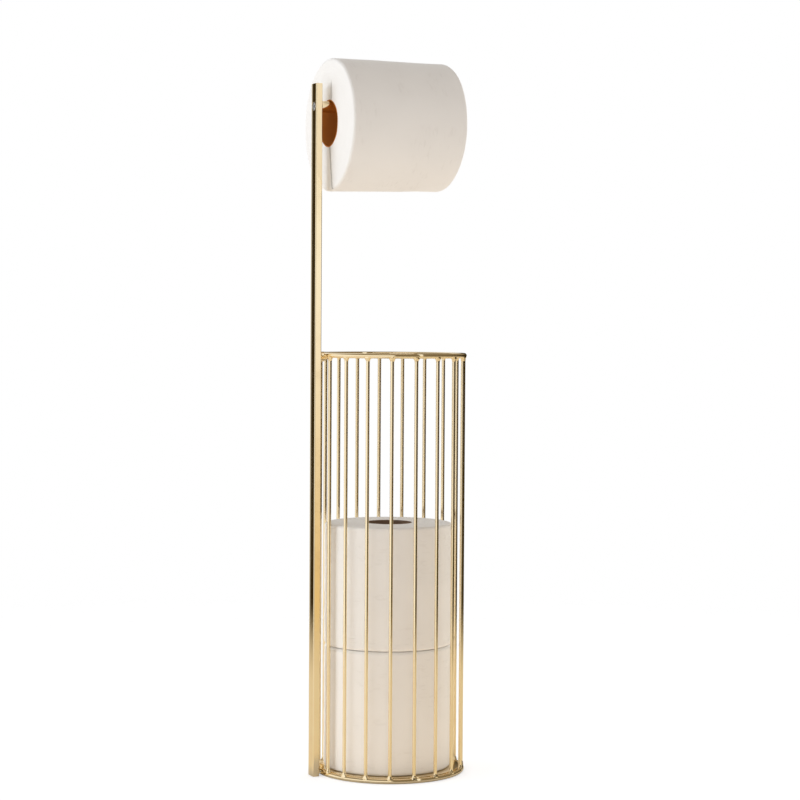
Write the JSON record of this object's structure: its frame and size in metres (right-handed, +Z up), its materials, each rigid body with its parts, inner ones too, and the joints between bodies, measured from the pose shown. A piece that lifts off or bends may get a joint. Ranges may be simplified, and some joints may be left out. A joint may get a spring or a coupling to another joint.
{
  "type": "free-standing toilet roll holder",
  "caption": "Free-standing toilet roll holder: a flat post with a rod arm for the roll in use, beside a round wire basket for spare rolls, with the rolls in place.",
  "frame": {"origin": "on the floor, at the middle of the overall footprint: halfway between the post's outer side and the far side of the basket, on the mirror plane through post, arm and basket axis", "axes": "+Z up along the post and the basket's axis, +X from the post along the arm towards its free tip, +Y across"},
  "size_m": [0.1338, 0.125, 0.5905],
  "materials": {
    "gold_metal": "polished gold plating",
    "steel_screw": "satin steel",
    "tissue": "soft embossed tissue paper",
    "core_board": "matt brown cardboard"
  },
  "bodies": {
    "stand": {"post": "gold_metal", "roll_arm": "gold_metal", "arm_screw": "steel_screw", "upper_standoff": "gold_metal", "lower_standoff": "gold_metal", "top_ring": "gold_metal", "bottom_ring": "gold_metal", "base_plate": "gold_metal", "upright_01": "gold_metal", "upright_02": "gold_metal", "upright_03": "gold_metal", "upright_04": "gold_metal", "upright_05": "gold_metal", "upright_06": "gold_metal", "upright_07": "gold_metal", "upright_08": "gold_metal", "upright_09": "gold_metal", "upright_10": "gold_metal", "upright_11": "gold_metal", "upright_12": "gold_metal", "upright_13": "gold_metal", "upright_14": "gold_metal", "upright_15": "gold_metal", "upright_16": "gold_metal", "upright_17": "gold_metal", "upright_18": "gold_metal", "upright_19": "gold_metal"},
    "hung_roll": {"hung_roll_paper": "tissue", "hung_roll_core": "core_board"},
    "lower_roll": {"lower_roll_paper": "tissue", "lower_roll_core": "core_board"},
    "upper_roll": {"upper_roll_paper": "tissue", "upper_roll_core": "core_board"}
  },
  "joints": [
    {"name": "hung_roll_spin", "type": "hinge", "parent": "stand", "child": "hung_roll", "pos_m": [0, 0, 0.537], "axis": [1, 0, 0], "continuous": true},
    {"name": "lower_roll_lift", "type": "slide", "parent": "stand", "child": "lower_roll", "axis": [0, 0, 1], "range_m": [0, 0.11]},
    {"name": "upper_roll_lift", "type": "slide", "parent": "lower_roll", "child": "upper_roll", "axis": [0, 0, 1], "range_m": [0, 0.155]}
  ]
}
